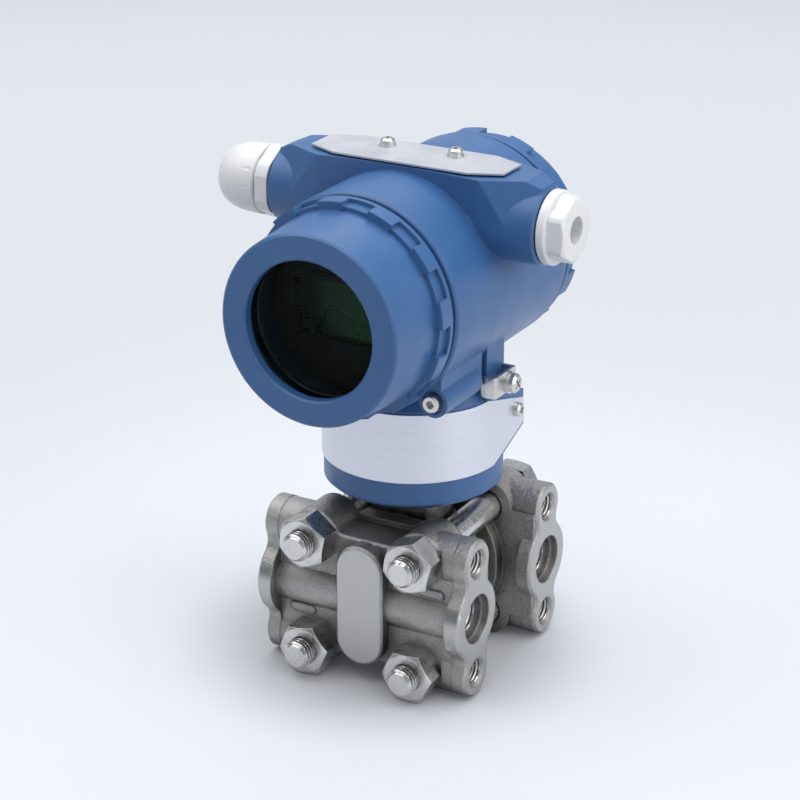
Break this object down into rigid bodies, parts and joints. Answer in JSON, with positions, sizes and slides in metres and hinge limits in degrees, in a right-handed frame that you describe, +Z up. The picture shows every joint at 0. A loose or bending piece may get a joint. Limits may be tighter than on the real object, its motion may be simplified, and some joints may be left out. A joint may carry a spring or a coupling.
{
  "type": "differential pressure transmitter",
  "caption": "Differential pressure transmitter with two bolted process flanges, a blue two-compartment head with a display window, cable gland, conduit plug and bare plates.",
  "frame": {"origin": "middle of the bounding box's underside, on the floor under the flanges", "axes": "+Z up along the neck; -Y is the display side; X runs along the flanges and the conduits"},
  "size_m": [0.1342, 0.1312, 0.1846],
  "materials": {
    "blue_paint": "semi-gloss",
    "cast_stainless": "cast and blasted",
    "bright_steel": "polished",
    "machined_steel": "turned",
    "plate_steel": "brushed sheet",
    "white_nylon": "satin",
    "black_plastic": "matte",
    "circuit_board": "coated",
    "lcd_glass": "tinted",
    "glass": "clear",
    "rubber": "matte"
  },
  "bodies": {
    "sensor": {"front_flange": "cast_stainless", "rear_flange": "cast_stainless", "clamp_bolts": "bright_steel", "clamp_nuts": "bright_steel", "sensor_cell": "machined_steel", "flange_seals": "rubber", "isolating_diaphragms": "machined_steel", "sensor_neck": "machined_steel", "neck_seal": "rubber"},
    "head": {"housing": "blue_paint", "display_bezel": "black_plastic", "lcd_panel": "lcd_glass", "display_board": "circuit_board", "display_standoffs": "bright_steel", "electronics_module": "black_plastic", "terminal_block": "black_plastic", "terminal_screws": "bright_steel", "top_plate": "plate_steel", "top_plate_washers": "bright_steel", "top_plate_screws": "bright_steel", "nameplate": "plate_steel", "nameplate_screws": "bright_steel", "conduit_washers": "rubber", "gland_body": "white_nylon", "conduit_plug": "white_nylon", "ground_clamp": "bright_steel", "ground_washer": "bright_steel", "ground_screw": "bright_steel", "cover_lock_screw": "bright_steel", "rotation_set_screw": "bright_steel"},
    "front_cover_carriage": {"front_cover_seal": "rubber"},
    "front_cover": {"display_cover": "blue_paint", "window_gasket": "rubber", "window_glass": "glass", "glass_retainer": "machined_steel"},
    "rear_cover_carriage": {"rear_cover_seal": "rubber"},
    "rear_cover_body": {"rear_cover": "blue_paint"},
    "gland_carriage": {"gland_seal": "rubber"},
    "gland_nut_body": {"gland_nut": "white_nylon"},
    "zero_button_body": {"zero_button": "bright_steel"},
    "span_button_body": {"span_button": "bright_steel"}
  },
  "joints": [
    {"name": "head_turn", "type": "hinge", "parent": "sensor", "child": "head", "pos_m": [0.007, 0.0048, 0.0659], "axis": [0, 0, 1], "range_deg": [-180, 180]},
    {"name": "front_cover_travel", "type": "slide", "parent": "head", "child": "front_cover_carriage", "axis": [0, -1, 0], "range_m": [0, 0.00801]},
    {"name": "front_cover_turn", "type": "hinge", "parent": "front_cover_carriage", "child": "front_cover", "pos_m": [0.007, -0.0361, 0.1409], "axis": [0, -1, 0], "range_deg": [0, 1440]},
    {"name": "rear_cover_travel", "type": "slide", "parent": "head", "child": "rear_cover_carriage", "axis": [0, 1, 0], "range_m": [0, 0.00801]},
    {"name": "rear_cover_turn", "type": "hinge", "parent": "rear_cover_carriage", "child": "rear_cover_body", "pos_m": [0.007, 0.0493, 0.1409], "axis": [0, 1, 0], "range_deg": [0, 1440]},
    {"name": "gland_nut_travel", "type": "slide", "parent": "head", "child": "gland_carriage", "axis": [-1, 0, 0], "range_m": [0, 0.005]},
    {"name": "gland_nut_turn", "type": "hinge", "parent": "gland_carriage", "child": "gland_nut_body", "pos_m": [-0.05015, 0.0048, 0.16445], "axis": [-1, 0, 0], "range_deg": [0, 1224]},
    {"name": "zero_button_press", "type": "slide", "parent": "head", "child": "zero_button_body", "axis": [0, 0, -1], "range_m": [0, 0.0015], "stiffness_N_per_m": 400},
    {"name": "span_button_press", "type": "slide", "parent": "head", "child": "span_button_body", "axis": [0, 0, -1], "range_m": [0, 0.0015], "stiffness_N_per_m": 400}
  ],
  "couplings": [
    {"joint": "front_cover_travel", "follows": "front_cover_turn", "m_per_rad": 0.00031831},
    {"joint": "rear_cover_travel", "follows": "rear_cover_turn", "m_per_rad": 0.00031831},
    {"joint": "gland_nut_turn", "follows": "gland_nut_travel", "rad_per_m": 4188.8}
  ]
}
